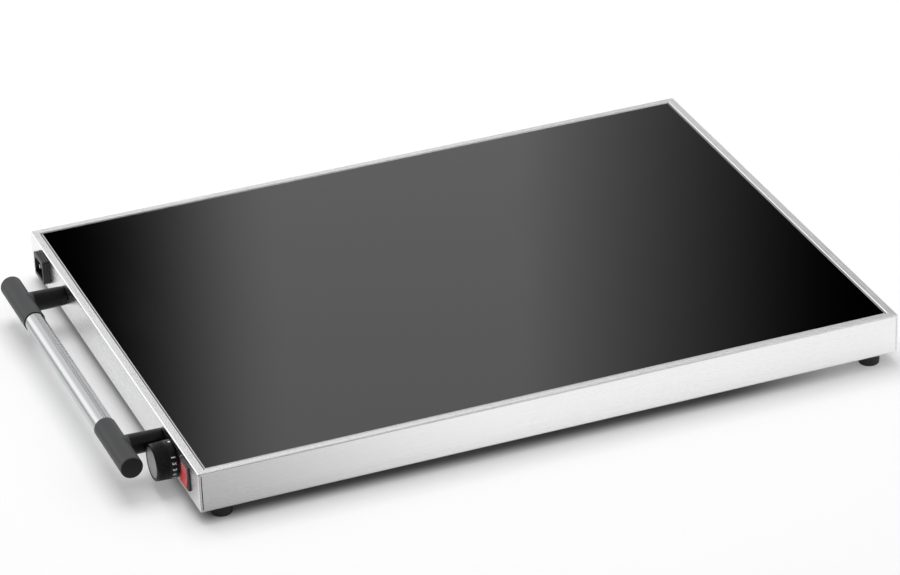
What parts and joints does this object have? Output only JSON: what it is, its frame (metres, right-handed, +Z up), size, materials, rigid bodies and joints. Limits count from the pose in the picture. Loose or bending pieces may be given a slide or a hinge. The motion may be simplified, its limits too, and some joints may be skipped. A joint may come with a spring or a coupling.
{
  "type": "electric food warmer tray",
  "caption": "Flat electric warming tray: stainless housing, black glass-ceramic top, carrying bar, thermostat knob, rocker switch and power inlet at one end.",
  "frame": {"origin": "on the table under the middle of the whole part, carrying bar included", "axes": "+X away from the carrying bar along the long side, +Y from front to back, +Z up"},
  "size_m": [0.732, 0.51, 0.0504],
  "materials": {
    "housing_steel": "fine satin stainless steel",
    "black_glass": "polished opaque glass-ceramic, near black",
    "silicone": "matte black silicone",
    "spreader": "rolled aluminium",
    "heater_sheath": "heat-darkened steel sheath",
    "mineral_mat": "soft off-white mineral fibre",
    "inner_steel": "plain rolled steel",
    "zinc_steel": "zinc-coated steel",
    "screw_steel": "zinc-coated steel",
    "handle_aluminium": "satin anodised",
    "handle_plastic": "fine-grained dark grey moulding",
    "black_plastic": "semi-gloss black moulding",
    "knob_plastic": "satin black moulding",
    "grey_disc": "plain grey inlay",
    "red_lens": "clear red lens",
    "terminal_metal": "nickel-plated brass",
    "copper": "bare copper",
    "foot_rubber": "matte black",
    "brown_wire": "silicone sleeve, brown",
    "blue_wire": "silicone sleeve, blue",
    "earth_wire": "silicone sleeve, green and yellow"
  },
  "bodies": {
    "tray": {"housing_shell": "housing_steel", "glass_plate": "black_glass", "glass_seal": "silicone", "heat_spreader": "spreader", "heating_element": "heater_sheath", "insulation_mat": "mineral_mat", "heater_tray": "inner_steel", "base_plate": "zinc_steel", "handle_tube": "handle_aluminium", "handle_end_front": "handle_plastic", "handle_end_rear": "handle_plastic", "handle_screw_front": "screw_steel", "handle_screw_rear": "screw_steel", "thermostat_body": "black_plastic", "thermostat_screw_1": "screw_steel", "thermostat_screw_2": "screw_steel", "sensor_bulb": "copper", "bulb_clip": "inner_steel", "thermal_cutout": "terminal_metal", "switch_body": "black_plastic", "inlet_body": "black_plastic", "inlet_contact_live": "terminal_metal", "inlet_contact_neutral": "terminal_metal", "inlet_contact_earth": "terminal_metal", "earth_stud": "terminal_metal", "wire_live_in": "brown_wire", "wire_neutral_in": "blue_wire", "wire_neutral_heater": "blue_wire", "wire_live_thermostat": "brown_wire", "wire_live_cutout": "brown_wire", "wire_live_heater": "brown_wire", "wire_earth": "earth_wire", "element_clamp_1": "inner_steel", "element_clamp_2": "inner_steel", "element_clamp_3": "inner_steel", "leaf_spring_1": "inner_steel", "leaf_spring_2": "inner_steel", "leaf_spring_3": "inner_steel", "leaf_spring_4": "inner_steel", "glass_rail_front": "zinc_steel", "glass_rail_right": "zinc_steel", "glass_rail_rear": "zinc_steel", "glass_rail_left": "zinc_steel", "foot_front_left": "foot_rubber", "foot_front_right": "foot_rubber", "foot_rear_right": "foot_rubber", "foot_rear_left": "foot_rubber", "foot_screw_front_left": "screw_steel", "foot_screw_front_right": "screw_steel", "foot_screw_rear_right": "screw_steel", "foot_screw_rear_left": "screw_steel", "base_screw_front": "screw_steel", "base_screw_right": "screw_steel", "base_screw_rear": "screw_steel", "base_screw_left": "screw_steel"},
    "knob": {"control_knob": "knob_plastic", "knob_cap": "grey_disc", "thermostat_shaft": "terminal_metal"},
    "rocker": {"switch_rocker": "red_lens"}
  },
  "joints": [
    {"name": "knob_turn", "type": "hinge", "parent": "tray", "child": "knob", "pos_m": [-0.324, -0.182, 0.029], "axis": [-1, 0, 0], "range_deg": [0, 270]},
    {"name": "rocker_tilt", "type": "hinge", "parent": "tray", "child": "rocker", "pos_m": [-0.3125, -0.2194, 0.032], "axis": [0, -1, 0], "range_deg": [0, 12]}
  ]
}
